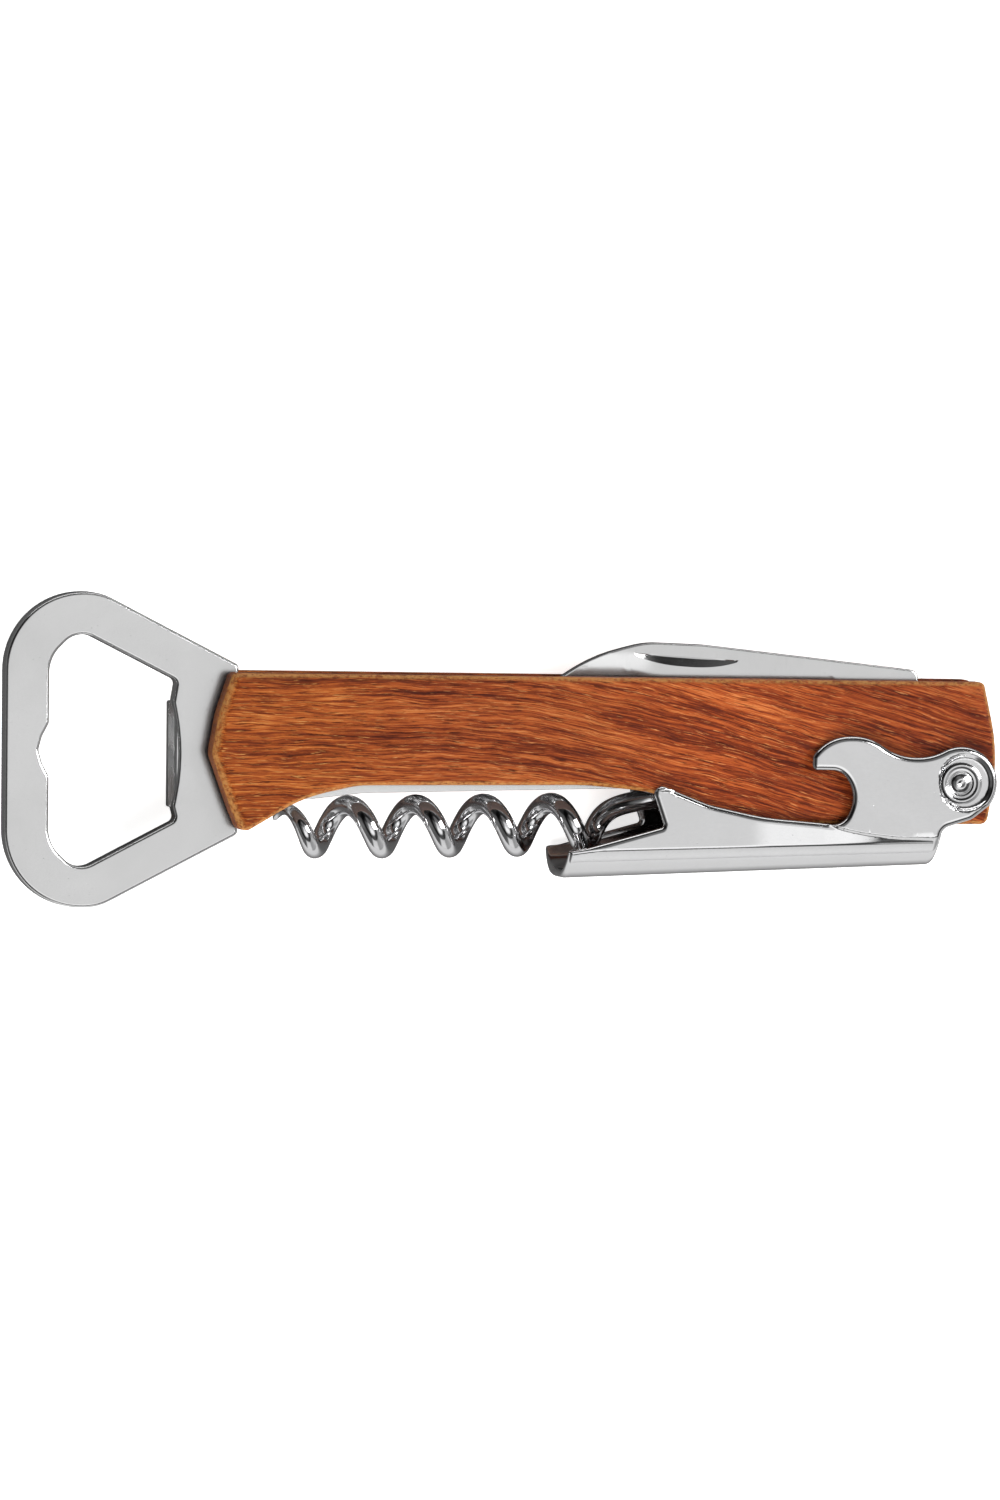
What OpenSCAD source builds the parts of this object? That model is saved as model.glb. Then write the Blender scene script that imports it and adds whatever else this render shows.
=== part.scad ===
// Waiter's corkscrew: opener plate, wooden handle, folding knife, worm and boot lever.
// It lies on its side: Z is the thickness, every hinge turns about Z, the opener is at -X.

/* [Handle] */
// Thickness over both wood scales
handle_t = 14; // [13.6:0.1:14]
// Thickness of the opener plate and of the slot between the liners
slot_t = 3.2; // [3.1:0.1:3.4]
// Thickness of one steel liner
liner_t = 1.0; // [0.8:0.1:1.2]
// Height of the handle's straight middle above the centre line
handle_top = 10.85; // [10.4:0.05:11.2]
// Fall of the handle's top edge from the opener to the lever rivet
top_fall = 1.25; // [0:0.05:1.5]

/* [Opener] */
// Width of the opener head
opener_w = 43.8; // [42:0.2:46]
// Outer corner radius of the opener head
opener_r = 10.9; // [9:0.1:12]
// Distance from the opener's left edge to its shoulders
opener_len = 32.9; // [32:0.1:33.5]
// Width of the rim round the loop
rim_w = 6.2; // [5.5:0.1:7]
// Height of the cap lifter's tooth
tooth_h = 14.4; // [13:0.2:15]

/* [Worm] */
// Outer diameter of the coil
coil_od = 8.9; // [8.6:0.1:9]
// Diameter of the wire
wire_d = 2.9; // [2.6:0.1:2.9]
// Pitch of the coil
pitch = 9.6; // [9.4:0.05:9.7]
// Outer radius of the eye that the worm turns on
eye_r = 3.0; // [2.6:0.1:3]

/* [Knife] */
// Thickness of the blade
blade_t = 2.2; // [1.8:0.1:2.4]
// Thickness at the cutting edge
edge_t = 0.3; // [0.2:0.05:0.5]

/* [Lever] */
// Thickness of the folded sheet
sheet_t = 1.1; // [1:0.05:1.2]
// Gap between the wood and the lever's fins
fin_gap = 0.3; // [0.25:0.05:0.4]
// How far the ears stand out past the fins
ear_step = 0.5; // [0.4:0.05:0.6]
// Outer radius of the bend between fins and spine
bend_r = 3.8; // [3.2:0.1:4.2]
// Radius of the lever rivet's shank
rivet_r = 1.5; // [1.3:0.1:1.6]

/* [Hidden] */

eps = 0.01;
run_gap = 0.05;      // radial clearance of a turning pin
pin_r = 1.2;         // radius of the hidden pivots and pins
corner_step = 10;    // degrees between the points of a rounded corner

// Heights above and below the middle plane
slot_z = slot_t / 2;
liner_z = slot_z + liner_t;
wood_z = handle_t / 2;
fin_in = wood_z + fin_gap;
fin_out = fin_in + sheet_t;
ear_in = fin_in + ear_step;
ear_out = ear_in + sheet_t;
half_blade = blade_t / 2;

// Ends of the object along X
left_x = -69.6;
shoulder_x = left_x + opener_len;

// Hinge axes
lever_at = [64.6, -4.4];
worm_at = [27.45, -5.2];
blade_at = [56.6, 6.5];

// Worm: the coil's axis rises slightly towards the eye
wire_r = wire_d / 2;
coil_r = coil_od / 2 - wire_r;
coil_top_x = -30.3;  // the first coil top
coil_turns = 4.75;
axis_y = -10.65;
axis_rise = 0.011;

// Lever: the spine rises slightly towards the ears
spine_x = 9.0;
spine_end = 61.9;
spine_y = -17.8;
spine_rise = 2.07;
ear_r = 5.1;
dish_r = 4.6;
dish_floor_r = 3.3;
dish_in = wood_z + 0.2;
dish_out = dish_in + sheet_t;
cup_r = 2.9;

function unit(v) = v / norm(v);
function xy(p) = [p.x, p.y];
function handle_top_y(x) = handle_top - top_fall * (x + 38) / 106;

// Points of the arc that rounds the corner b of the path a-b-c with radius r
function corner(a, b, c, r) = r == 0 ? [b] : let (
    u = unit(a - b),
    v = unit(c - b),
    half = acos(u * v) / 2,
    centre = b + unit(u + v) * r / sin(half),
    p = b + u * r / tan(half) - centre,
    q = b + v * r / tan(half) - centre,
    start = atan2(p.y, p.x),
    sweep = (atan2(q.y, q.x) - start + 540) % 360 - 180,
    steps = max(1, ceil(abs(sweep) / corner_step)))
    [for (i = [0:steps]) centre + r * [cos(start + sweep * i / steps), sin(start + sweep * i / steps)]];

// A closed outline from [x, y, corner radius] points
function rounded(pts) = let (n = len(pts)) [for (i = [0:n - 1])
    each corner(xy(pts[(i + n - 1) % n]), xy(pts[i]), xy(pts[(i + 1) % n]), pts[i][2])];

// Opener head: two round corners on the left, slopes to the shoulders, then the tang
head_y = opener_w / 2;
shoulder_y = 11.75;
tang_outline = [
    [left_x, head_y, opener_r], [left_x, -head_y, opener_r],
    [left_x + 13.2, -head_y, 8], [shoulder_x, -shoulder_y, 0.8],
    [shoulder_x, -9.4, 0], [-33.5, -5.0, 1], [-12, -4.0, 1.5],
    [-12, 7.5, 1.5], [shoulder_x, 9.2, 0], [shoulder_x, shoulder_y, 0.8],
    [left_x + 13.2, head_y, 8]];

hole_left = left_x + rim_w;
hole_right = -45.4;
tooth_y = -0.6;
loop_outline = [
    [hole_left, 12.8, 5], [hole_left, -13.0, 5], [-59.4, -16.9, 3.4],
    [hole_right, -9.7, 0.9], [hole_right - 0.5, tooth_y - tooth_h / 2, 0.4],
    [hole_right + 0.9, tooth_y, 30], [hole_right - 0.5, tooth_y + tooth_h / 2, 0.4],
    [hole_right, 9.6, 0.9], [-59.4, 16.7, 3.4]];

// Wood scale: pointed left end, flared grip, waist and a slightly bowed right end
wood_outline = [
    [-38.4, handle_top_y(-38), 0.8], [-40.3, 5.2, 14], [-41.3, -0.4, 2.5],
    [-38.6, -7.9, 14], [-37.0, -11.6, 1.3], [-34.2, -9.9, 0], [-28.5, -6.5, 22],
    [-20.5, -4.75, 12], [11.5, -4.72, 25], [20.8, -5.6, 18], [27.5, -8.0, 0],
    [36, -10.2, 18], [44, -10.7, 0], [68.8, -10.2, 1.1], [70.5, -1.0, 26],
    [68.3, handle_top_y(68), 0.8]];

liner_outline = [
    [-37.6, 10.0, 0.8], [-39.4, 4.8, 10], [-40.3, -0.4, 2.5], [-36.8, -9.9, 1.3],
    [-33.4, -8.6, 0], [-27.5, -6.9, 16], [-19, -5.95, 0], [19, -5.3, 14],
    [27, -7.6, 0], [36, -9.8, 18], [44, -10.3, 0], [68.1, -9.8, 1.1],
    [69.6, -1.0, 26], [67.5, 9.0, 0.8]];

// Space that the worm's first coil needs between the scales
pocket_left = -35.2;
pocket_right = -24.0;
pocket_r = coil_od / 2 + 0.4;
pocket_y = axis_y - 0.25;
pocket_drop = 7.75;  // from the pocket's axis down past the scales

spring_outline = [
    [-10.5, -3.6, 1], [12, -3.6, 2], [20, -1.9, 3], [60.5, -1.9, 0.6],
    [60.5, 0.2, 0.6], [4, 0.2, 2], [-4, 4.5, 2], [-10.5, 4.5, 1]];
spring_pin_at = [[-6.5, 0.4], [6, -1.7]];
tang_rivet_at = [[-31, 2.5], [-17, 2.0]];

blade_tip = [5.2, 7.6];
blade_outline = [
    [blade_tip.x, blade_tip.y, 0.3], [8.2, 4.4, 5], [14, 2.6, 10], [48.6, 2.0, 0.5],
    [50.2, 3.2, 0.6], [53.6, 3.0, 1], [57.5, 2.1, 1.8], [60.6, 4.5, 2.5],
    [59.9, 11.05, 1.2], [29.5, 14.6, 20], [21.2, 14.95, 12], [13.7, 13.1, 25]];
grind_end = 49.4;

// Fin walls with the low left end, and the ears with their hooks, in side view
fin_outline = [
    [spine_x, -14.1, 0.6], [22.5, -10.45, 0.5], [20.3, -4.0, 1.1], [28.8, -7.4, 14],
    [36.5, -9.15, 30], [45.8, -9.9, 0], [52.5, -11.4, 0], [spine_end, -11.9, 0],
    [spine_end - 0.7, -16.4, 1.2], [58.8, -18.4, 0], [spine_x - 0.4, -20, 0]];

ear_outline = [
    [43.4, -2.5, 0.7], [47.5, -2.6, 2.4], [49.9, -5.8, 4.5], [47.9, -10.4, 2.6],
    [44.6, -10.0, 0], [45.8, -11.0, 0], [52.5, -12.6, 0], [spine_end, -13.1, 0],
    [spine_end, -10.7, 1.6], [66.2, -9.4, 3], [68.6, -7.6, 0], [64.6, -4.4, 0],
    [62.44, 0.22, 0], [60.3, -0.8, 8], [55.6, -0.8, 8.4], [51.4, 2.15, 6.9],
    [45.7, 2.15, 6.2], [43.5, -0.6, 1.2]];

module place() {
    translate([0, 0, ear_out]) children();
}

// A plate of the given outline between two heights over the middle plane
module plate(outline, low, high) {
    translate([0, 0, low]) linear_extrude(high - low) polygon(rounded(outline));
}

module peg(at, r, low, high) {
    translate([at.x, at.y, low]) cylinder(r = r, h = high - low, $fn = 48);
}

module opener_plate() {
    place() color("silver") union() {
        difference() {
            plate(tang_outline, -slot_z, slot_z);
            plate(loop_outline, -slot_z - 1, slot_z + 1);
            finger_notch();
            for (at = tang_rivet_at) peg(at, pin_r, -slot_z - 1, slot_z + 1);
        }
        tooth();
    }
}

// Shallow round notch in the far side of the loop
module finger_notch() {
    notch_r = 2.6;
    notch_depth = 1.4;
    peg([hole_left - notch_depth + notch_r, 0], notch_r, -slot_z - 1, slot_z + 1);
    plate([[hole_left - 0.8, -1.9, 0], [hole_left + 0.1, -3.5, 0], [hole_left + 1, -3.5, 0],
        [hole_left + 1, 3.5, 0], [hole_left + 0.1, 3.5, 0], [hole_left - 0.8, 1.9, 0]],
        -slot_z - 1, slot_z + 1);
}

// Lip that catches the cap: a ledge on the lower part of the plate, sloped to its upper face
module tooth() {
    reach = 0.9;
    root = 2.0;
    half = tooth_h / 2;
    translate([hole_right, tooth_y + half, 0]) rotate([90, 0, 0]) linear_extrude(2 * half)
        polygon([[root, -slot_z], [-reach, -slot_z], [-reach, -0.2], [0.1, 1.0], [root, 1.0]]);
}

module liner(low, high) {
    difference() {
        plate(liner_outline, low, high);
        pocket();
        for (at = concat(spring_pin_at, tang_rivet_at, [worm_at, blade_at]))
            peg(at, pin_r, low - 1, high + 1);
        peg(lever_at, rivet_r, low - 1, high + 1);
    }
}

// Room between the scales for the worm's point, open downwards
module pocket() {
    length = pocket_right - pocket_left;
    translate([pocket_left, pocket_y, 0]) {
        rotate([0, 90, 0]) cylinder(r = pocket_r, h = length, $fn = 64);
        translate([0, -pocket_drop, -pocket_r]) cube([length, pocket_drop, 2 * pocket_r]);
    }
}

module liner_front() {
    place() color("gainsboro") liner(slot_z, liner_z);
}

module liner_back() {
    place() color("gainsboro") liner(-liner_z, -slot_z);
}

module wood_scale(low, high) {
    difference() {
        plate(wood_outline, low, high);
        pocket();
        peg(lever_at, rivet_r, low - 1, high + 1);
    }
}

module wood_scale_front() {
    place() color("peru") wood_scale(liner_z, wood_z);
}

module wood_scale_back() {
    place() color("peru") wood_scale(-wood_z, -liner_z);
}

module back_spring() {
    place() color("lightgray") difference() {
        plate(spring_outline, -slot_z + run_gap, slot_z - run_gap);
        for (at = spring_pin_at) peg(at, pin_r, -slot_z - 1, slot_z + 1);
    }
}

module spring_pins() {
    place() color("gray") for (at = spring_pin_at) peg(at, pin_r, -liner_z, liner_z);
}

module tang_rivets() {
    place() color("gray") for (at = tang_rivet_at) peg(at, pin_r, -liner_z, liner_z);
}

module worm_pin() {
    place() color("gray") peg(worm_at, pin_r, -liner_z, liner_z);
}

module blade_pin() {
    place() color("gray") peg(blade_at, pin_r, -liner_z, liner_z);
}

// One washer on each side of the blade
module blade_washers() {
    washer_r = 3.2;
    place() color("goldenrod") for (side = [0, 1]) mirror([0, 0, side]) difference() {
        peg(blade_at, washer_r, half_blade + run_gap, slot_z - run_gap);
        peg(blade_at, pin_r + 0.02, 0, slot_z + 1);
    }
}

module rivet_spacer() {
    place() color("lightgray") difference() {
        peg(lever_at, rivet_r + 1, -slot_z, slot_z);
        peg(lever_at, rivet_r, -slot_z - 1, slot_z + 1);
    }
}

// Shank with a domed end on each side
module lever_rivet() {
    dome_base = ear_out - 0.45;
    dome_r = (rivet_r * rivet_r + 0.45 * 0.45) / 0.9;
    place() color("silver") union() {
        peg(lever_at, rivet_r, -dome_base, dome_base);
        for (side = [0, 1]) mirror([0, 0, side]) intersection() {
            translate([lever_at.x, lever_at.y, ear_out - dome_r]) sphere(r = dome_r, $fn = 64);
            peg(lever_at, rivet_r, dome_base - 0.2, ear_out + 1);
        }
    }
}

// Flanged cup that the rivet is closed over, turned from its half section
module rivet_cup() {
    floor_z = dish_out + run_gap;
    top_z = ear_out - 0.1;
    translate([lever_at.x, lever_at.y, 0]) rotate_extrude($fn = 64)
        polygon([[rivet_r, floor_z], [cup_r - 0.25, floor_z], [cup_r, floor_z + 0.2],
            [cup_r - 0.1, top_z - 0.05], [cup_r - 0.35, top_z], [cup_r - 0.7, top_z - 0.15],
            [rivet_r + 0.3, floor_z + 0.15], [rivet_r, floor_z + 0.15]]);
}

module rivet_cup_front() {
    place() color("silver") rivet_cup();
}

module rivet_cup_back() {
    place() color("silver") mirror([0, 0, 1]) rivet_cup();
}

module knife_blade() {
    place() color("silver") difference() {
        plate(blade_outline, -half_blade, half_blade);
        for (side = [0, 1]) mirror([0, 0, side]) grind();
        nail_nick();
        peg(blade_at, pin_r + run_gap, -slot_z, slot_z);
    }
}

// Flat grind: the blade thins from its spine to its cutting edge
module grind() {
    spine_line = 13.0;
    edge_line = 2.0;
    rotate([90, 0, 90]) linear_extrude(grind_end)
        polygon([[edge_line - 1, edge_t / 2], [edge_line, edge_t / 2], [spine_line, half_blade],
            [spine_line, half_blade + 1], [edge_line - 1, half_blade + 1]]);
}

// Crescent for the fingernail: a large disc sunk into the face, tilted from the spine's side
module nail_nick() {
    disc_r = 50;
    depth = 0.6;
    tilt = 24;
    translate([26.9, 12.95, half_blade]) rotate([0, 0, -4]) rotate([-90 - tilt, 0, 0])
        translate([0, depth - disc_r, -3]) cylinder(r = disc_r, h = 3, $fn = 180);
}

// Worm: centre line of the coil, from the point to the last turn
function axis_height(x) = axis_y + axis_rise * (x + 8);
tip_phase = -65;
end_phase = 360 * coil_turns;
ring_step = 15;
tip_rings = 18;      // rings over which the wire tapers to its point
function coil_point(phase) = let (
    grown = min(1, (phase - tip_phase) / (ring_step * tip_rings)),
    x = coil_top_x + pitch * phase / 360 + 1.2 * (1 - grown) * (1 - grown),
    r = coil_r * (0.8 + 0.2 * grown))
    [x, axis_height(x) + r * cos(phase), r * sin(phase)];

coil_path = [for (phase = [tip_phase:ring_step:end_phase]) coil_point(phase)];
coil_end = coil_path[len(coil_path) - 1];
coil_run = unit(coil_end - coil_path[len(coil_path) - 2]);

// Shank: a curve from the last turn into the slot and onto the eye
shank_b = coil_end + coil_run * 3.6 + [0, 0, 0.5];
shank_c = [19.5, -7.6, 0.5];
shank_d = [worm_at.x - eye_r + 1, worm_at.y - 0.9, 0];
shank_steps = 12;
function bezier(a, b, c, d, t) = a * pow(1 - t, 3) + b * 3 * t * pow(1 - t, 2)
    + c * 3 * t * t * (1 - t) + d * pow(t, 3);
shank_path = [for (i = [1:shank_steps]) bezier(coil_end, shank_b, shank_c, shank_d, i / shank_steps)];
worm_path = concat(coil_path, shank_path);

// A tube along a path: the section turns as little as it can from ring to ring
function tangent(path, i) = unit(path[min(i + 1, len(path) - 1)] - path[max(i - 1, 0)]);
function carried(normal, run) = unit(normal - run * (normal * run));
function tube_normals(path) = [for (i = 0, n = carried([1, 0, 0], tangent(path, 0)); i < len(path);
    i = i + 1, n = i < len(path) ? carried(n, tangent(path, i)) : n) n];
wire_sides = 12;
module tube(path, radii) {
    normals = tube_normals(path);
    rings = len(path);
    points = [for (i = [0:rings - 1]) let (n = normals[i], b = cross(tangent(path, i), n))
        for (k = [0:wire_sides - 1]) let (a = 360 * k / wire_sides)
            path[i] + radii[i] * (cos(a) * n + sin(a) * b)];
    walls = [for (i = [0:rings - 2]) for (k = [0:wire_sides - 1]) let (
        here = i * wire_sides + k,
        beside = i * wire_sides + (k + 1) % wire_sides)
        each [[here, here + wire_sides, beside], [beside, here + wire_sides, beside + wire_sides]]];
    first = [for (k = [0:wire_sides - 1]) k];
    last = [for (k = [wire_sides - 1:-1:0]) (rings - 1) * wire_sides + k];
    polyhedron(points, concat(walls, [first, last]));
}

// The wire swells from its point to its full radius
function wire_radius(i) = wire_r * (0.22 + 0.78 * sqrt(min(1, i / tip_rings)));

module worm() {
    eye_z = wire_r;
    place() color("silver") difference() {
        union() {
            tube(worm_path, [for (i = [0:len(worm_path) - 1]) wire_radius(i)]);
            peg(worm_at, eye_r, -eye_z, eye_z);
        }
        peg(worm_at, pin_r + run_gap, -slot_z, slot_z);
    }
}

// Lever: folded sheet seen along its spine, walls up and a round bend at each side
module channel_section(half_w, floor_y, r) {
    top_y = 22;
    union() {
        translate([-half_w, floor_y + r]) square([2 * half_w, top_y - r]);
        translate([-half_w + r, floor_y]) square([2 * (half_w - r), r + eps]);
        for (side = [-1, 1]) translate([side * (half_w - r), floor_y + r]) circle(r = r, $fn = 64);
    }
}

module channel() {
    length = 60;
    translate([spine_x, spine_y, 0]) rotate([0, 0, spine_rise]) translate([-2, 0, 0])
        rotate([0, 90, 0]) linear_extrude(length) difference() {
            channel_section(fin_out, 0, bend_r);
            channel_section(fin_in, sheet_t, bend_r - sheet_t);
        }
}

// Ear plate, dished round the rivet
module ear() {
    difference() {
        union() {
            plate(ear_outline, ear_in, ear_out);
            peg(lever_at, ear_r, ear_in, ear_out);
            translate([lever_at.x, lever_at.y, dish_in])
                cylinder(r1 = dish_r - 0.4, r2 = ear_r - 0.1, h = ear_in - dish_in + 0.2, $fn = 64);
        }
        translate([lever_at.x, lever_at.y, dish_out])
            cylinder(r1 = dish_floor_r, r2 = dish_r, h = ear_out - dish_out + eps, $fn = 64);
        peg(lever_at, rivet_r + run_gap, 0, ear_out + 1);
    }
}

module lever() {
    place() color("whitesmoke") union() {
        intersection() {
            channel();
            plate(fin_outline, -fin_out - 1, fin_out + 1);
        }
        ear();
        mirror([0, 0, 1]) ear();
    }
}

opener_plate();
liner_front();
liner_back();
wood_scale_front();
wood_scale_back();
back_spring();
spring_pins();
tang_rivets();
worm_pin();
blade_pin();
blade_washers();
rivet_spacer();
lever_rivet();
rivet_cup_front();
rivet_cup_back();
knife_blade();
worm();
lever();
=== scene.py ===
import math

import bpy
import numpy as np
from mathutils import Matrix, Vector
from mathutils.geometry import delaunay_2d_cdt


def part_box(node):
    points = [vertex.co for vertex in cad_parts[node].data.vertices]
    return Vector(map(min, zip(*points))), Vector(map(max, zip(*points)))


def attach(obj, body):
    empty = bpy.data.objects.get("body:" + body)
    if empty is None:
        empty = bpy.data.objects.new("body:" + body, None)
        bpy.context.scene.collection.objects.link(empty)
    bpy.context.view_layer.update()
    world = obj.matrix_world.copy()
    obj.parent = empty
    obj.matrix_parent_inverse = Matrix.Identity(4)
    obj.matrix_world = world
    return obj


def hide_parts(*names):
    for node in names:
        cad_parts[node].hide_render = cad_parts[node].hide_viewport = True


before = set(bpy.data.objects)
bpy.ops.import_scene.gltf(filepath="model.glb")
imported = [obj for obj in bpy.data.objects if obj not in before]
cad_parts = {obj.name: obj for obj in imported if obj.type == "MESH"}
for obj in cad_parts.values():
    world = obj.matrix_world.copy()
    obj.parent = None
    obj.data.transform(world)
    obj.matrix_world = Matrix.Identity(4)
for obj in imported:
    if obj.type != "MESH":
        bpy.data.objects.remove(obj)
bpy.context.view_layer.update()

# Shapes are drawn in millimetres about the tool's middle plane, and settled into the frame in metres.
# The main dimensions are the CAD model's.
MM = 0.001
LEVER_LOW, LEVER_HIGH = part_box("lever")
LIFT = (LEVER_LOW.z + LEVER_HIGH.z) / 2 / MM      # height of the middle plane in the frame

SLOT_Z = 1.6          # half the slot, and half the opener plate
LINER_Z = 2.6         # outer face of the liners
WOOD_Z = 7.0          # outer face of the wood
FIN_OUT = 8.4         # outer face of the lever's fins
RIVET_Z = 8.9         # half the lever rivet's length
SHEET = 1.1           # thickness of the lever's sheet
EAR_STEP = 0.5        # how far the ears stand out past the fins
BLADE_Z = 1.1         # half the blade's thickness
EDGE_Z = 0.15         # half the thickness of its cutting edge
WIRE_R = 1.45
COIL_R = 3.0          # from the worm's axis to the middle of its wire
EYE_R = 3.0
EAR_R = 5.1
PIN_R = 1.2
RIVET_R = 1.5
RUN_GAP = 0.05        # radial clearance of a piece that turns on a pin

LEVER_AT = (64.6, -4.4)
WORM_AT = (27.45, -5.2)
BLADE_AT = (56.6, 6.5)
SPRING_PIN_AT = [(-6.5, 0.4), (6, -1.7)]
TANG_RIVET_AT = [(-31, 2.5), (-17, 2.0)]


# ---------------------------------------------------------------- outlines

def rounded(points, step=4.0):
    """A closed outline from (x, y, corner radius) points."""
    out = []
    count = len(points)
    for i, (x, y, r) in enumerate(points):
        at = Vector((x, y))
        if r == 0:
            out.append((x, y))
            continue
        u = (Vector(points[i - 1][:2]) - at).normalized()
        v = (Vector(points[(i + 1) % count][:2]) - at).normalized()
        half = u.angle(v) / 2
        centre = at + (u + v).normalized() * r / math.sin(half)
        first = at + u * r / math.tan(half) - centre
        last = at + v * r / math.tan(half) - centre
        start = math.atan2(first.y, first.x)
        sweep = (math.atan2(last.y, last.x) - start + 3 * math.pi) % (2 * math.pi) - math.pi
        steps = max(2, math.ceil(abs(sweep) / math.radians(step)))
        for k in range(steps + 1):
            a = start + sweep * k / steps
            out.append((centre.x + r * math.cos(a), centre.y + r * math.sin(a)))
    return out


def dense(loop, gap):
    """The loop with extra points, so that none are further apart than gap, and without doubled points."""
    out = []
    for a, b in zip(loop, loop[1:] + loop[:1]):
        length = math.dist(a, b)
        if length < 0.02:
            continue
        n = max(1, math.ceil(length / gap))
        out += [(a[0] + (b[0] - a[0]) * k / n, a[1] + (b[1] - a[1]) * k / n) for k in range(n)]
    return out


def circle(at, r, gap=0.3):
    """A round loop with a point about every gap."""
    n = max(24, math.ceil(2 * math.pi * r / gap))
    return [(at[0] + r * math.cos(2 * math.pi * k / n), at[1] + r * math.sin(2 * math.pi * k / n))
            for k in range(n)]


def orient(loop, ccw):
    """The loop counterclockwise, or clockwise if ccw is false."""
    area = sum(a[0] * b[1] - b[0] * a[1] for a, b in zip(loop, loop[1:] + loop[:1]))
    return loop if (area > 0) == ccw else loop[::-1]


def unit(rows):
    """Each row as a vector of length 1."""
    return rows / np.maximum(np.linalg.norm(rows, axis=-1, keepdims=True), 1e-12)


def in_chunks(points, size=1500):
    """The points a part at a time, to save memory."""
    for start in range(0, len(points), size):
        yield slice(start, start + size), points[start:start + size]


def distance(points, loops):
    """How far each point is from the nearest edge of the loops."""
    best = np.full(len(points), 1e9)
    for loop in loops:
        a = np.array(loop)
        ab = np.roll(a, -1, 0) - a
        square = np.maximum((ab ** 2).sum(1), 1e-12)
        for part, some in in_chunks(points):
            p = some[:, None, :] - a[None]
            t = np.clip((p * ab).sum(2) / square, 0, 1)
            away = np.linalg.norm(p - t[..., None] * ab, axis=2).min(1)
            best[part] = np.minimum(best[part], away)
    return best


def inside(points, loops):
    """Which points lie in the outline and not in its holes."""
    odd = np.zeros(len(points), bool)
    for loop in loops:
        a = np.array(loop)
        b = np.roll(a, -1, 0)
        rise = b[:, 1] - a[:, 1]
        rise = np.where(rise == 0, 1e-12, rise)
        for part, some in in_chunks(points):
            x, y = some[:, :1], some[:, 1:]
            crosses = (a[:, 1] > y) != (b[:, 1] > y)
            at = a[:, 0] + (y - a[:, 1]) * (b[:, 0] - a[:, 0]) / rise
            odd[part] ^= (crosses & (x < at)).sum(1) % 2 == 1
    return odd


def grid(low, high, gap_x, gap_y=None):
    """Evenly spread points between two corners."""
    xs = np.arange(low[0], high[0], gap_x)
    ys = np.arange(low[1], high[1], gap_y or gap_x)
    return np.stack(np.meshgrid(xs, ys), -1).reshape(-1, 2)


# ---------------------------------------------------------------- meshes

def constant(value):
    """A function of x and y that is the same everywhere."""
    return lambda x, y: np.full(np.shape(x), float(value))


def smooth(t):
    """An eased step from 0 to 1."""
    t = np.clip(t, 0, 1)
    return t * t * (3 - 2 * t)


GUARD = 0.08          # from a rim to one more ring, which keeps the face beside it flat
CREASE_ROOM = 0.14    # the least distance of a crease from the rims
INNER_ROOM = 0.2      # and of an inner point
CREASE_GAP = 1.5      # a crease with a wider gap than this is broken there


def rim_rings(loops, edge, steps, flatten):
    """The rings of points that round the loops' rims. Returns the points, how far each lies below the flat
    face, the segments that join them, and each outermost ring's first index and length."""
    points, drops, segments, rims = [], [], [], []
    for loop in loops:
        p = np.array(loop)
        back = unit(p - np.roll(p, 1, 0))
        both = unit(back + unit(np.roll(p, -1, 0) - p))
        normal = np.stack([-both[:, 1], both[:, 0]], 1)
        stretch = 1 / np.maximum(0.5, (both * back).sum(1))
        radius = edge(p[:, 0], p[:, 1])
        for k in range(steps + 2):
            angle = math.pi / 2 * min(1, k / steps)
            inset = radius * (1 - math.cos(angle)) + (GUARD if k > steps else 0)
            ring = p + normal * (inset * stretch)[:, None]
            kept = np.arange(len(p))
            if k:
                kept = np.flatnonzero(distance(ring, loops) > inset * 0.985 - 0.002)
            base = len(points)
            points += ring[kept].tolist()
            drops += (radius * flatten * (1 - math.sin(angle)))[kept].tolist()
            for j in range(len(kept)):
                following = (j + 1) % len(kept)
                if (kept[following] - kept[j]) % len(p) == 1:
                    segments.append((base + j, base + following))
            if k == 0:
                rims.append((base, len(p)))
    return points, drops, segments, rims


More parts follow.
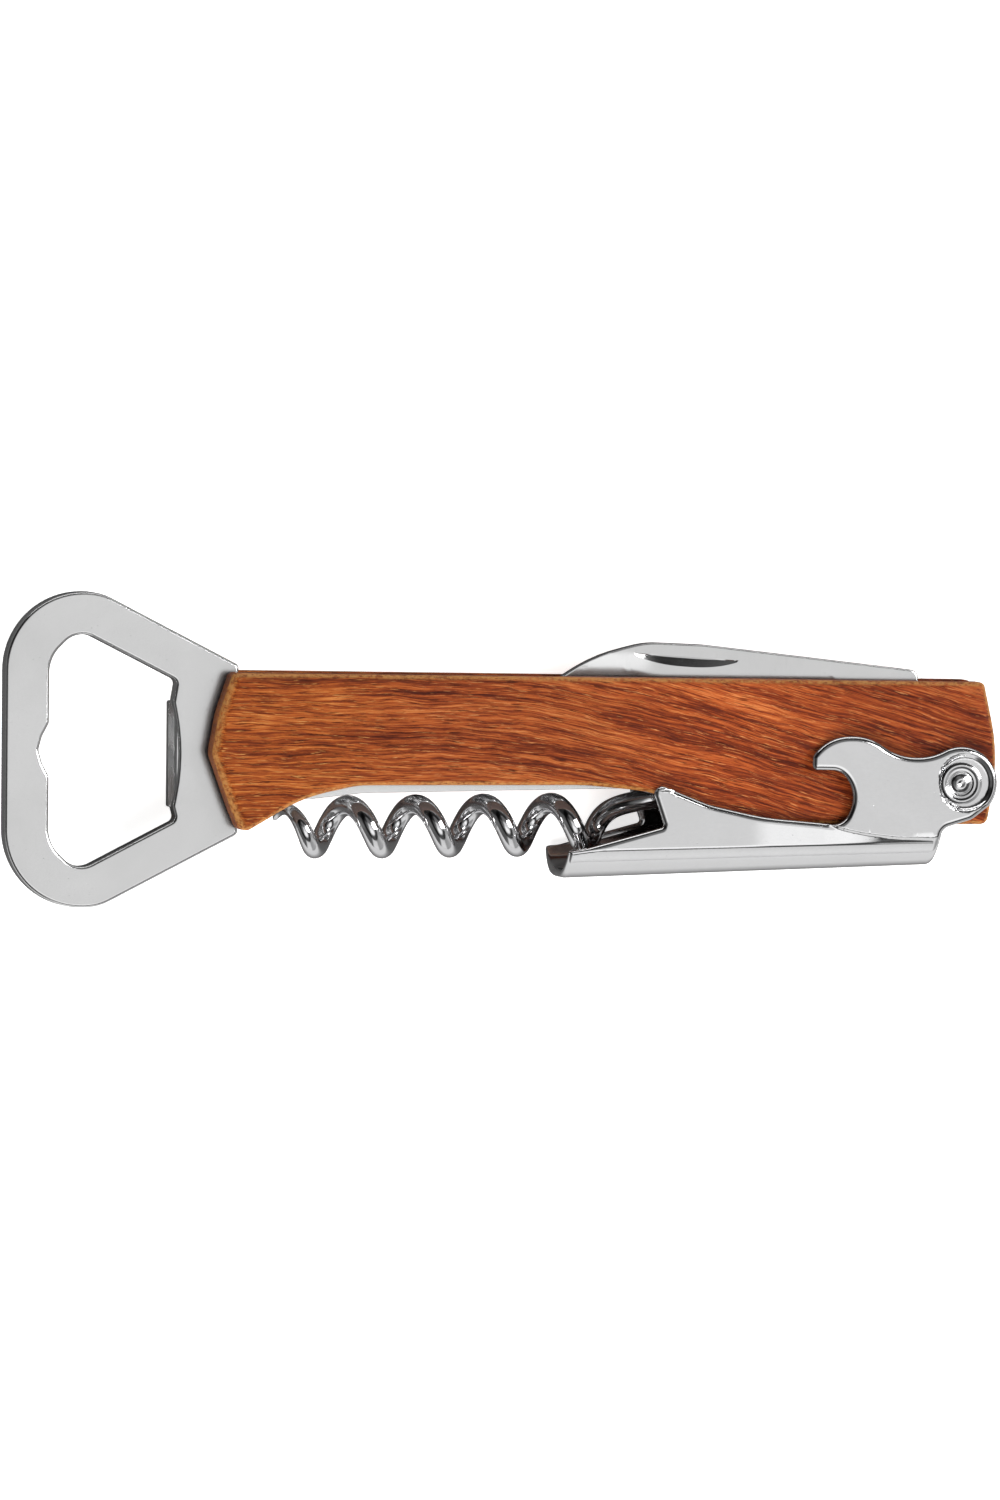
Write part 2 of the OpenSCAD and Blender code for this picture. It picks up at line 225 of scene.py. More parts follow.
def sheet(outline, top, bottom, edge, holes=(), inner=(), creases=(), steps=5, low_edge=1.0,
          flatten=1.0):
    """Vertices and faces of a closed sheet with rounded rims. top, bottom and edge are functions of x and
    y: the heights of its faces and the radius of its rims. The faces bend at the inner points and along
    the creases. flatten makes the rims shallower than they are wide, and low_edge the lower ones alone."""
    loops = [orient(list(outline), True)] + [orient(list(h), False) for h in holes]
    points, drops, segments, rims = rim_rings(loops, edge, steps, flatten)
    for line in creases:
        base = len(points)
        line = np.array(line)
        room = distance(line, loops) - edge(line[:, 0], line[:, 1])
        for j, p in enumerate(line[inside(line, loops) & (room > CREASE_ROOM)].tolist()):
            if j and math.dist(p, points[-1]) < CREASE_GAP:
                segments.append((base + j - 1, base + j))
            points.append(p)
            drops.append(0.0)
    if len(inner):
        room = distance(inner, loops) - edge(inner[:, 0], inner[:, 1])
        inner = inner[inside(inner, loops) & (room > INNER_ROOM)]
        points += inner.tolist()
        drops += [0.0] * len(inner)
    same = 1e-7           # points this close are one
    flat, _, triangles, origin, _, _ = delaunay_2d_cdt([Vector(p) for p in points], segments, [], 0, same)
    xy = np.array([tuple(v) for v in flat])
    drop = np.array([drops[o[0]] if o else 0.0 for o in origin])
    placed = {o: i for i, group in enumerate(origin) for o in group}
    triangles = np.array([t for t in triangles if len(t) == 3])
    triangles = triangles[inside(xy[triangles].mean(1), loops)]
    x, y = xy[:, 0], xy[:, 1]
    count = len(xy)
    verts = np.concatenate([
        np.stack([x, y, top(x, y) - drop], 1),
        np.stack([x, y, bottom(x, y) + drop * low_edge], 1)])
    faces = triangles.tolist() + (triangles[:, ::-1] + count).tolist()
    for base, n in rims:
        for j in range(n):
            a, b = placed[base + j], placed[base + (j + 1) % n]
            if a != b:
                faces.append([a + count, b + count, b, a])
    return verts, faces


def compact(verts, faces):
    """Only the vertices that a face uses."""
    used = sorted({i for f in faces for i in f})
    new = {old: i for i, old in enumerate(used)}
    return np.asarray(verts)[used], [[new[i] for i in f] for f in faces]


def make(name, verts, faces):
    """A mesh object, in millimetres."""
    verts, faces = compact(verts, faces)
    mesh = bpy.data.meshes.new(name)
    mesh.from_pydata([tuple(v) for v in verts], [], faces)
    mesh.validate()
    piece = bpy.data.objects.new(name, mesh)
    bpy.context.scene.collection.objects.link(piece)
    return piece


def combine(piece, tool, operation):
    """piece joined with or cut by tool, as one solid."""
    modifier = piece.modifiers.new("solid", "BOOLEAN")
    modifier.object = tool
    modifier.operation = operation
    modifier.solver = "EXACT"
    graph = bpy.context.evaluated_depsgraph_get()
    mesh = bpy.data.meshes.new_from_object(piece.evaluated_get(graph))
    piece.modifiers.clear()
    piece.data = mesh
    bpy.data.objects.remove(tool)


def settle(piece, material, body, nodes, sharp=38):
    """The finished piece in metres, riding on its body in place of its CAD nodes."""
    piece.data.transform(Matrix.Scale(MM, 4) @ Matrix.Translation((0, 0, LIFT)))
    piece.data.shade_smooth()
    piece.data.set_sharp_from_angle(angle=math.radians(sharp))
    piece.data.materials.clear()
    piece.data.materials.append(material)
    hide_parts(*nodes)
    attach(piece, body)
    return piece


def lathe(profile, at, sides=96, closed=False):
    """Vertices and faces of (radius, z) points turned about the upright axis through at. A closed profile
    makes a ring, an open one is capped at both ends."""
    n = len(profile)
    turns = [2 * math.pi * k / sides for k in range(sides)]
    verts = [(at[0] + r * math.cos(a), at[1] + r * math.sin(a), z) for a in turns for r, z in profile]
    faces = []
    for k in range(sides):
        here, beside = k * n, (k + 1) % sides * n
        for j in range(n if closed else n - 1):
            following = (j + 1) % n
            faces.append([here + j, beside + j, beside + following, here + following])
    if not closed:
        faces.append([k * n for k in range(sides)][::-1])
        faces.append([k * n + n - 1 for k in range(sides)])
    return verts, faces


def tube(path, radii, sides=24):
    """Vertices and faces of a closed tube along a path, turning as little as it can."""
    path = np.array(path)
    run = unit(np.concatenate([path[1:2] - path[:1], path[2:] - path[:-2], path[-1:] - path[-2:-1]]))
    side = unit(np.cross(run[0], [0.0, 0.0, 1.0]))
    verts, faces = [], []
    for i, (p, r) in enumerate(zip(path, radii)):
        side = unit(side - run[i] * (side @ run[i]))
        other = np.cross(run[i], side)
        for k in range(sides):
            a = 2 * math.pi * k / sides
            verts.append(p + r * (math.cos(a) * side + math.sin(a) * other))
    for i in range(len(path) - 1):
        for k in range(sides):
            here, beside = i * sides + k, i * sides + (k + 1) % sides
            faces.append([here, beside, beside + sides, here + sides])
    faces.append(list(range(sides))[::-1])
    faces.append([(len(path) - 1) * sides + k for k in range(sides)])
    return verts, faces


# ---------------------------------------------------------------- materials

def linear(r, g, b):
    """An sRGB colour of 0 to 255 as a linear one."""
    parts = [c / 255 for c in (r, g, b)]
    return tuple(c / 12.92 if c <= 0.04045 else ((c + 0.055) / 1.055) ** 2.4 for c in parts) + (1.0,)


STUDIO = 0.70         # takes the studio's own brightness out of the wood's colours


def lit(r, g, b):
    """The wood's colour that looks like this one in the studio's light."""
    return tuple(c * STUDIO for c in linear(r, g, b)[:3]) + (1.0,)


class Shader:
    """A procedural material whose coordinates are millimetres in the frame."""

    def __init__(self, name, **sockets):
        self.material = bpy.data.materials.new(name)
        self.material.use_nodes = True
        self.tree = self.material.node_tree
        self.surface = self.tree.nodes["Principled BSDF"]
        for socket, value in sockets.items():
            self.surface.inputs[socket.replace("_", " ")].default_value = value
        self.coordinates = self.node("ShaderNodeTexCoord")
        self.place = self.node("ShaderNodeVectorMath", [self.coordinates.outputs["Object"], (1 / MM,) * 3],
                               operation="MULTIPLY").outputs[0]
        parts = self.node("ShaderNodeSeparateXYZ", [self.place]).outputs
        self.x, self.y, self.z = parts[0], parts[1], parts[2]

    def node(self, kind, values=(), **settings):
        """A new node with these values, or links, in its first inputs."""
        node = self.tree.nodes.new(kind)
        for key, value in settings.items():
            setattr(node, key, value)
        for socket, value in zip(node.inputs, values):
            self.put(socket, value)
        return node

    def put(self, socket, value):
        if isinstance(value, bpy.types.NodeSocket):
            self.tree.links.new(value, socket)
        elif value is not None:
            socket.default_value = value

    def math(self, operation, a, b=None, clamp=False):
        return self.node("ShaderNodeMath", [a, b], operation=operation, use_clamp=clamp).outputs[0]

    def add(self, a, b, clamp=False):
        return self.math("ADD", a, b, clamp)

    def times(self, a, b, clamp=False):
        return self.math("MULTIPLY", a, b, clamp)

    def stretched(self, x, y, z):
        """The place, scaled by a factor for each axis."""
        return self.node("ShaderNodeVectorMath", [self.place, (x, y, z)], operation="MULTIPLY").outputs[0]

    def vector(self, x, y, z):
        return self.node("ShaderNodeCombineXYZ", [x, y, z]).outputs[0]

    def noise(self, vector, scale, detail=4.0, rough=0.55, warp=0.0):
        node = self.node("ShaderNodeTexNoise")
        for name, value in (("Vector", vector), ("Scale", scale), ("Detail", detail),
                            ("Roughness", rough), ("Distortion", warp)):
            self.put(node.inputs[name], value)
        return node.outputs["Fac"]

    def spots(self, vector, scale, size):
        """1 in the middle of scattered spots, 0 between them."""
        node = self.node("ShaderNodeTexVoronoi")
        self.put(node.inputs["Vector"], vector)
        self.put(node.inputs["Scale"], scale)
        return self.span(node.outputs["Distance"], size, 0.0)

    def span(self, value, low, high, out_low=0.0, out_high=1.0):
        """The value eased from its own range to another."""
        node = self.node("ShaderNodeMapRange", [value, low, high, out_low, out_high])
        node.interpolation_type = "SMOOTHSTEP"
        return node.outputs["Result"]

    def ramp(self, value, stops):
        """Colours from (position, colour) pairs."""
        node = self.node("ShaderNodeValToRGB", [value])
        line = node.color_ramp
        while len(line.elements) < len(stops):
            line.elements.new(0.5)
        for element, (at, colour) in zip(line.elements, stops):
            element.position = at
            element.color = colour
        return node.outputs["Color"]

    def mix(self, amount, a, b, blend="MIX"):
        """From colour a to colour b. The node has its colour sockets after those for numbers and vectors."""
        first, second, result = 6, 7, 2
        node = self.node("ShaderNodeMix", data_type="RGBA", blend_type=blend)
        self.put(node.inputs["Factor"], amount)
        self.put(node.inputs[first], a)
        self.put(node.inputs[second], b)
        return node.outputs[result]

    def bump(self, height, distance, strength=1.0):
        """Adds relief of that depth in millimetres to any that is there."""
        node = self.node("ShaderNodeBump")
        node.inputs["Strength"].default_value = strength
        node.inputs["Distance"].default_value = distance * MM
        self.put(node.inputs["Height"], height)
        if self.surface.inputs["Normal"].is_linked:
            self.put(node.inputs["Normal"], self.surface.inputs["Normal"].links[0].from_socket)
        self.put(self.surface.inputs["Normal"], node.outputs["Normal"])

    def tilt(self):
        """0 on faces that look along Z, 1 where the rim has turned away."""
        normal = self.node("ShaderNodeSeparateXYZ", [self.coordinates.outputs["Normal"]]).outputs[2]
        return self.math("SUBTRACT", 1.0, self.math("ABSOLUTE", normal), clamp=True)


def grey(value):
    """A grey as a colour."""
    return (value, value, value, 1)


def steel(name, colour, rough, grain=(0.15, 2.2, 2.2), brushed=0.004, specks=0.1, blotch=0.06,
          polish=0.6):
    """Metal with fine brushing, tiny specks, smudges, and rims rubbed smoother. grain is how fine the
    brushing is along each axis and brushed its depth in millimetres; polish scales the rims' roughness."""
    s = Shader(name, Metallic=1.0)
    lines = s.noise(s.stretched(*grain), 3.0, 6.0, 0.7)
    fine = s.noise(s.place, 9.0, 3.0, 0.6)
    smudge = s.noise(s.place, 0.11, 3.0, 0.55, 0.6)
    dots = s.times(s.spots(s.place, 1.6, 0.16), s.span(s.noise(s.place, 0.7, 2.0), 0.45, 0.7))
    tone = s.ramp(s.add(s.times(lines, 0.5), s.times(smudge, 0.5)), [
        (0.3, tuple(c * (1 - blotch) for c in colour[:3]) + (1,)),
        (0.7, tuple(min(1, c * (1 + blotch * 0.6)) for c in colour[:3]) + (1,))])
    tone = s.mix(s.times(dots, specks * 3, clamp=True), tone, grey(0.25))
    s.put(s.surface.inputs["Base Color"], tone)
    # The noises have a mean of about a half, so the roughness stays near the one that is asked for.
    base = s.add(s.times(smudge, rough * 0.5), s.times(fine, rough * 0.25))
    base = s.add(base, rough * 0.62)
    rim = s.span(s.tilt(), 0.05, 0.5)
    s.put(s.surface.inputs["Roughness"], s.times(base, s.span(rim, 0, 1, 1.0, polish)))
    s.bump(lines, brushed)
    s.bump(s.math("SUBTRACT", 1.0, dots), 0.02, 0.6)
    return s.material


def wood(name, seed):
    """Reddish close-grained wood: streaks that dip towards the lever, pores, rims paler from sanding and
    from a painted highlight, and painted shade on the side walls.
    """
    s = Shader(name)
    s.surface.inputs["Specular IOR Level"].default_value = 0.14
    # How far across the grain: the streaks are level at the opener's end and bend down about x = 5.
    a = s.math("SUBTRACT", s.x, 5.0)
    dip = s.add(a, s.math("SQRT", s.add(s.times(a, a), 150.0)))
    across = s.add(s.y, s.times(dip, 0.14))
    slow = s.vector(s.times(s.x, 0.05), s.times(across, 0.12), seed)
    wander = s.math("SUBTRACT", s.noise(slow, 1.0, 3.0), 0.5)
    across = s.add(across, s.times(wander, 2.6))
    deep = s.times(s.z, 0.6)

    def grain(fx, fy, shift, detail, rough, low, high):
        """Streaks of fx along and fy across the grain, per millimetre. low and high are the noise's levels
        that become 0 and 1."""
        vector = s.vector(s.times(s.x, fx), s.times(across, fy), s.add(s.times(deep, fy), seed + shift))
        return s.span(s.noise(vector, 1.0, detail, rough), low, high)

    broad = grain(0.02, 0.25, 0.0, 3.0, 0.5, 0.36, 0.64)
    streak = grain(0.05, 1.9, 7.0, 5.0, 0.65, 0.36, 0.64)
    fibre = grain(0.22, 5.6, 13.0, 4.0, 0.7, 0.36, 0.64)
    tone = s.add(s.times(broad, 0.26), s.times(streak, 0.36))
    tone = s.add(tone, s.times(fibre, 0.38))
    colour = s.ramp(tone, [
        (0.08, lit(80, 30, 13)), (0.30, lit(122, 54, 24)), (0.50, lit(164, 82, 36)),
        (0.70, lit(194, 106, 48)), (0.92, lit(222, 144, 76))])
    pores = grain(0.34, 6.6, 31.0, 3.0, 0.6, 0.56, 0.65)
    cracks = grain(0.10, 7.0, 71.0, 3.0, 0.6, 0.57, 0.64)
    flecks = grain(0.36, 7.4, 47.0, 3.0, 0.6, 0.60, 0.69)
    for marks, strength, tint in ((pores, 0.85, lit(66, 24, 10)), (cracks, 0.6, lit(84, 34, 16)),
                                  (flecks, 0.8, lit(236, 172, 100))):
        colour = s.mix(s.times(marks, strength), colour, tint)
    # The colour changes slowly along the handle, from x = -40 to x = 70.
    stain = s.ramp(s.span(s.x, -40.0, 70.0), [
        (0.03, (1.0, 0.91, 0.85, 1)), (0.18, (0.98, 0.85, 0.95, 1)), (0.47, (0.97, 0.81, 0.88, 1)),
        (0.72, (1.26, 1.00, 1.06, 1)), (0.98, (0.90, 0.68, 0.74, 1))])
    colour = s.mix(1.0, colour, stain, "MULTIPLY")
    # The rims are sanded pale in patches, and less so where they have turned on to the plain sides. Their
    # pale colour is partly a painted highlight on the rounded rims.
    rim = s.span(s.tilt(), 0.02, 0.30)
    rim = s.times(rim, s.span(s.noise(s.place, 1.6, 5.0, 0.75), 0.38, 0.58, 0.15, 0.95))
    rim = s.times(rim, s.span(s.tilt(), 0.97, 0.75, 0.2, 1.0))
    colour = s.mix(rim, colour, lit(214, 150, 84))
    # Painted shade: the steep side walls are made a little darker brown.
    colour = s.mix(s.span(s.tilt(), 0.75, 0.95, 0.0, 0.25), colour, lit(110, 58, 32))
    # The metal mirrors the wood as nearly grey.
    mirrored = s.times(s.node("ShaderNodeLightPath").outputs["Is Glossy Ray"], 0.85)
    colour = s.mix(mirrored, colour, lit(96, 93, 91))
    s.put(s.surface.inputs["Base Color"], colour)
    rough = s.add(0.36, s.times(fibre, 0.24))
    s.put(s.surface.inputs["Roughness"], s.add(rough, s.times(rim, 0.12), clamp=True))
    s.bump(s.math("SUBTRACT", fibre, s.times(pores, 1.2)), 0.02, 0.8)
    return s.material


OPENER_STEEL = steel("opener_satin_steel", grey(0.86), 0.20, (2.5, 1.0, 2.5), 0.003, 0.16)
LINER_STEEL = steel("liner_bright_steel", grey(0.95), 0.24)
SPRING_STEEL = steel("spring_dark_steel", (0.52, 0.52, 0.53, 1), 0.38, brushed=0.006)
PIN_STEEL = steel("pin_steel", (0.66, 0.66, 0.67, 1), 0.30, (2, 2, 0.2))
BRASS = steel("washer_brass", (0.80, 0.58, 0.27, 1), 0.30, (2, 2, 2))
BLADE_STEEL = steel("blade_ground_steel", grey(0.86), 0.12, (1.8, 0.12, 1.8), 0.0018)
WORM_CHROME = steel("worm_chrome", (0.86, 0.86, 0.87, 1), 0.10, (1.2, 1.2, 1.2), 0.0012, 0.05, 0.05, 1.0)
LEVER_CHROME = steel("lever_chrome", (0.90, 0.90, 0.905, 1), 0.09, (0.5, 1.0, 0.5), 0.0015, 0.08, 0.05)
RIVET_CHROME = steel("rivet_chrome", (0.84, 0.84, 0.845, 1), 0.14, (1, 1, 1), 0.001, 0.05, 0.05, 1.0)
WOOD_FRONT = wood("wood_front_grain", 3.0)
WOOD_BACK = wood("wood_back_grain", 61.0)


# ---------------------------------------------------------------- opener plate

HEAD_LEFT, HEAD_TOP, SHOULDER_X = -69.6, 21.9, -36.7
LOOP_LEFT, LOOP_RIGHT = -63.4, -45.4
TOOTH_Y, TOOTH_H = -0.6, 14.4       # middle and height of the cap lifter's tooth


def opener_plate():
    flank = HEAD_LEFT + 13.2
    outline = rounded([
        (HEAD_LEFT, HEAD_TOP, 10.9), (HEAD_LEFT, -HEAD_TOP, 10.9), (flank, -HEAD_TOP, 8),
        (SHOULDER_X, -11.75, 0.8), (SHOULDER_X, -9.4, 0.3), (-33.5, -5.0, 1), (-12, -4.0, 1.5),
        (-12, 7.5, 1.5), (SHOULDER_X, 9.2, 0.3), (SHOULDER_X, 11.75, 0.8), (flank, HEAD_TOP, 8)])
    loop = rounded([
        (LOOP_LEFT, 12.8, 5), (LOOP_LEFT, 3.7, 1.0), (LOOP_LEFT - 0.95, 1.9, 1.2),
        (LOOP_LEFT - 1.5, 0, 1.6), (LOOP_LEFT - 0.95, -1.9, 1.2), (LOOP_LEFT, -3.7, 1.0),
        (LOOP_LEFT, -13.0, 5), (-59.4, -16.9, 3.4), (LOOP_RIGHT, -9.7, 0.9),
        (LOOP_RIGHT - 0.5, TOOTH_Y - TOOTH_H / 2, 0.4), (LOOP_RIGHT + 0.9, TOOTH_Y, 30),
        (LOOP_RIGHT - 0.5, TOOTH_Y + TOOTH_H / 2, 0.4), (LOOP_RIGHT, 9.6, 0.9), (-59.4, 16.7, 3.4)])
    holes = [dense(loop, 0.4)] + [circle(at, PIN_R) for at in TANG_RIVET_AT]
    verts, faces = sheet(dense(outline, 0.5), constant(SLOT_Z), constant(-SLOT_Z), constant(0.42), holes,
                         grid((-69, -22), (-11, 22), 1.6))
    plate = make("opener_plate_satin", verts, faces)
    combine(plate, tooth(), "UNION")
    return settle(plate, OPENER_STEEL, "handle", ["opener_plate"], 30)


def tooth():
    """The cap lifter's tooth, set over the loop's right edge: its section, swept along Y."""
    section = rounded([
        (2.0, -1.59, 0), (-0.9, -1.59, 0.18), (-0.9, -0.2, 0.14), (0.1, 1.0, 0.12), (2.0, 1.0, 0)])
    half = TOOTH_H / 2 + 0.2
    verts, faces = sheet(dense(section, 0.4), constant(half), constant(-half), constant(0.3), steps=4)
    return make("tooth", [(LOOP_RIGHT + x, TOOTH_Y - z, y) for x, y, z in verts], faces)


# ---------------------------------------------------------------- handle

def top_edge(x):
    """The wood's top edge, which falls a little towards the lever."""
    return 10.85 - 1.25 * (x + 38) / 106


WOOD_OUTLINE = [
    (-38.4, top_edge(-38), 0.8), (-40.3, 5.2, 14), (-41.3, -0.4, 2.5), (-38.6, -7.9, 14),
    (-37.0, -11.6, 1.3), (-34.2, -9.9, 0), (-28.5, -6.5, 22), (-20.5, -4.75, 12), (11.5, -4.72, 25),
    (20.8, -5.6, 18), (27.5, -8.0, 0), (36, -10.2, 18), (68.8, -10.2, 1.1), (70.5, -1.0, 26),
    (68.3, top_edge(68), 0.8)]
LINER_OUTLINE = [
    (-37.6, 10.0, 0.8), (-39.4, 4.8, 10), (-40.3, -0.4, 2.5), (-36.8, -9.9, 1.3), (-33.4, -8.6, 0),
    (-27.5, -6.9, 16), (-19, -5.95, 0), (19, -5.3, 14), (27, -7.6, 0), (36, -9.8, 18), (44, -10.3, 0),
    (68.1, -9.8, 1.1), (69.6, -1.0, 26), (67.5, 9.0, 0.8)]
LINER_PINS = SPRING_PIN_AT + TANG_RIVET_AT + [WORM_AT, BLADE_AT]
POCKET_LEFT, POCKET_RIGHT = -35.2, -24.0
POCKET_Y, POCKET_R = -10.9, 4.85


def pocket():
    """Room for the worm's point: a round trough, open downwards."""
    down = POCKET_Y - 8
    arc = [(POCKET_Y + POCKET_R * math.cos(a), POCKET_R * math.sin(a))
           for a in np.linspace(-math.pi / 2, math.pi / 2, 49)]
    section = arc + [(down, POCKET_R), (down, -POCKET_R)]
    verts = [(x, y, z) for x in (POCKET_LEFT, POCKET_RIGHT) for y, z in section]
    n = len(section)
    faces = [[k, (k + 1) % n, (k + 1) % n + n, k + n] for k in range(n)]
    faces += [list(range(n))[::-1], list(range(n, 2 * n))]
    return make("pocket", verts, faces)


def wood_edge(x, y):
    """Rim radius: wider at the left end, and a little uneven as on hand-sanded wood."""
    wide = 0.45 * smooth((-33 - x) / 6)
    return 1.02 + wide + 0.07 * np.sin(x * 0.31 + y * 0.5) + 0.05 * np.sin(x * 0.83 + 2.0)


def wood_top(x, y):
    """Height of the wood's face, with the slow waves that sanding leaves."""
    short = 0.03 * np.sin(x * 0.11 + 1.0) * np.cos(y * 0.21)
    return WOOD_Z - 0.05 + short + 0.02 * np.sin(x * 0.043 + y * 0.09)


def wood_scale(name, side, material, node):
    """The front scale, or with side -1 the back one, its mirror image."""
    verts, faces = sheet(dense(rounded(WOOD_OUTLINE), 0.45), wood_top, constant(LINER_Z), wood_edge,
                         [circle(LEVER_AT, RIVET_R)], grid((-41, -12), (70, 12), 0.9), steps=7,
                         low_edge=0.05)
    if side < 0:
        verts = verts * [1, 1, -1]
        faces = [f[::-1] for f in faces]
    scale = make(name, verts, faces)
    combine(scale, pocket(), "DIFFERENCE")
    return settle(scale, material, "handle", [node], 50)


def liner(name, low, high, node):
    holes = [circle(at, PIN_R) for at in LINER_PINS] + [circle(LEVER_AT, RIVET_R)]
    verts, faces = sheet(dense(rounded(LINER_OUTLINE), 0.6), constant(high), constant(low),
                         constant(0.08), holes, grid((-40, -11), (70, 11), 2.5), steps=2)
    plate = make(name, verts, faces)
    combine(plate, pocket(), "DIFFERENCE")
    return settle(plate, LINER_STEEL, "handle", [node])


# ---------------------------------------------------------------- knife

NICK_AT, NICK_TURN = (26.9, 12.95), math.radians(-4)     # middle and slope of its straight edge
NICK_HALF, NICK_WIDE, NICK_DEEP = 8.0, 1.4, 0.42
NICK_WALL = 0.12      # width of the wall along its straight edge
BEVEL_Y = 13.2        # where the grind starts, below the spine


def nick_bow(share):
    """The nick's width at a share of its half length, as a share of its greatest."""
    return 1 - abs(share) ** 2.5


def nick_place(x, y):
    """Along the nick from its middle, and down from its straight edge."""
    dx, dy = x - NICK_AT[0], y - NICK_AT[1]
    c, s = math.cos(NICK_TURN), math.sin(NICK_TURN)
    return dx * c + dy * s, dx * s - dy * c


def nick_point(u, v):
    """The reverse of nick_place."""
    c, s = math.cos(NICK_TURN), math.sin(NICK_TURN)
    return NICK_AT[0] + u * c + v * s, NICK_AT[1] + u * s - v * c


def nick_depth(x, y):
    """Depth of the nail nick: a crescent, deepest by its straight edge."""
    u, v = nick_place(x, y)
    bow = nick_bow(np.clip(np.abs(u / NICK_HALF), 0, 1))
    slope = np.clip(1 - v / np.maximum(NICK_WIDE * bow, 1e-6), 0, 1)
    wall = np.clip(v / NICK_WALL, 0, 1)
    return NICK_DEEP * bow * np.minimum(slope, wall)


def blade_half(x, y):
    """Half the blade's thickness: flat by the tang and the spine, ground thinner towards the edge, and
    thinner still near the point, left of x = 23.5. The grind ends in the curved plunge by the tang."""
    ground = BLADE_Z - (BLADE_Z - EDGE_Z) * np.clip((BEVEL_Y - y) / 11.2, 0, 1) ** 3
    lean = 0.12 * np.clip(13.4 - y, 0, 1.8) + (1.69 - (np.clip(y, 10.3, 11.6) - 10.3) ** 2) / 26
    ground = ground - lean * smooth((23.5 - x) / 4)
    plunge = 49.2 - 0.05 * (y - 5.0) ** 2
    return ground + (BLADE_Z - ground) * smooth((x - plunge + 0.5) / 0.6)


def blade_edge(x, y):
    return np.minimum(0.24, blade_half(x, y) * 0.8)


def knife_blade():
    outline = rounded([
        (5.2, 7.6, 0.3), (8.2, 4.4, 5), (14, 2.6, 10), (48.6, 2.0, 0.5), (50.2, 3.2, 0.6), (53.6, 3.0, 1),
        (57.5, 2.1, 1.8), (60.6, 4.5, 2.5), (59.9, 11.05, 1.2), (29.5, 14.6, 20), (21.2, 14.95, 12),
        (13.7, 13.1, 25)])
    bows = np.linspace(-1, 1, 61)
    creases = [
        [(x, 13.0) for x in np.arange(8, 45, 0.5)],
        [nick_point(NICK_HALF * b, 0.0) for b in bows],
        [nick_point(NICK_HALF * b, NICK_WALL) for b in bows[3:-3]],
        [nick_point(NICK_HALF * b, NICK_WIDE * nick_bow(b)) for b in bows[3:-3]]]
    in_nick = [nick_point(u, v) for u in np.arange(-7.5, 7.6, 0.3) for v in np.arange(0.25, 1.3, 0.2)
               if v < NICK_WIDE * nick_bow(u / NICK_HALF) - 0.1]
    beside = [p for p in grid((5, 1), (61, 16), 0.8) if not (18.5 < p[0] < 35.5 and 10.8 < p[1] < 14)]
    plunge = grid((46, 2), (50.5, 13), 0.2, 0.4)
    verts, faces = sheet(dense(outline, 0.4), lambda x, y: blade_half(x, y) - nick_depth(x, y),
                         lambda x, y: -blade_half(x, y), blade_edge,
                         [circle(BLADE_AT, PIN_R + RUN_GAP)],
                         np.concatenate([np.array(beside), np.array(in_nick), plunge]), creases, steps=4)
    return settle(make("knife_blade_ground", verts, faces), BLADE_STEEL, "knife",
                  ["knife_blade"], 16)


# ---------------------------------------------------------------- worm

COIL_X, PITCH = -30.3, 9.6      # the first coil top, and the way from one to the next
FIRST_PHASE = -65               # of the worm's point, in degrees before the first coil top
TURNS = 4.75
GROWTH = 270.0                  # degrees over which the wire swells from its point


def worm_axis(x):
    """The worm's axis, which rises a little towards its eye."""
    return -10.65 + 0.011 * (x + 8)


def worm():
    path, radii = [], []
    for phase in np.arange(FIRST_PHASE, 360 * TURNS + 0.1, 3.0):
        grown = min(1.0, (phase - FIRST_PHASE) / GROWTH)
        x = COIL_X + PITCH * phase / 360 + 1.2 * (1 - grown) ** 2
        r = COIL_R * (0.8 + 0.2 * grown)
        a = math.radians(phase)
        path.append((x, worm_axis(x) + r * math.cos(a), r * math.sin(a)))
        radii.append(WIRE_R * (0.10 + 0.90 * grown ** 0.5))
    # The shank, from the last coil to the eye.
    a, before = Vector(path[-1]), Vector(path[-2])
    b = a + (a - before).normalized() * 3.6 + Vector((0, 0, 0.5))
    c = Vector((19.5, -7.6, 0.5))
    d = Vector((WORM_AT[0] - 2.0, WORM_AT[1] - 0.9, 0))
    for t in np.linspace(0, 1, 41)[1:]:
        p = a * (1 - t) ** 3 + b * 3 * t * (1 - t) ** 2 + c * 3 * t * t * (1 - t) + d * t ** 3
        path.append(tuple(p))
        radii.append(WIRE_R)
    body = make("worm_polished", *tube(path, radii))
    verts, faces = sheet(circle(WORM_AT, EYE_R, 0.25), constant(WIRE_R), constant(-WIRE_R), constant(0.35),
                         [circle(WORM_AT, PIN_R + RUN_GAP)], steps=4)
    combine(body, make("eye", verts, faces), "UNION")
    return settle(body, WORM_CHROME, "corkscrew", ["worm"])


# ---------------------------------------------------------------- lever

# The lever is cut from one flat sheet, the blank, and bent up along both sides of its spine. On the blank a
# point lies u along the spine and s out from its middle; in the side view it is u along and h up.
SPINE = (9.0, -17.8)                    # left end of the spine's underside
RISE = math.radians(2.07)               # its slope
SPINE_LEFT, SPINE_RIGHT = (8.85, -17.8), (61.3, -15.91)     # the blank's ends
WALL = [                                # the fin's outline, from its left end to the ear
    (8.6, -20, 0), (9.0, -14.1, 0.6), (22.5, -10.45, 0.5), (20.3, -4.0, 1.1), (28.8, -7.4, 14),
    (36.5, -9.15, 30), (44.6, -9.9, 0), (47.9, -10.4, 2.6), (49.9, -5.8, 4.5), (47.5, -2.6, 2.4),
    (43.4, -2.5, 0.7), (43.5, -0.6, 1.2), (45.7, 2.15, 6.2), (51.4, 2.15, 6.9), (55.6, -0.8, 8.4),
    (60.3, -0.8, 8)]
WALL_END = [(66.2, -9.4, 3), (61.9, -10.7, 1.6), (61.15, -17.5, 0)]      # and on from the ear
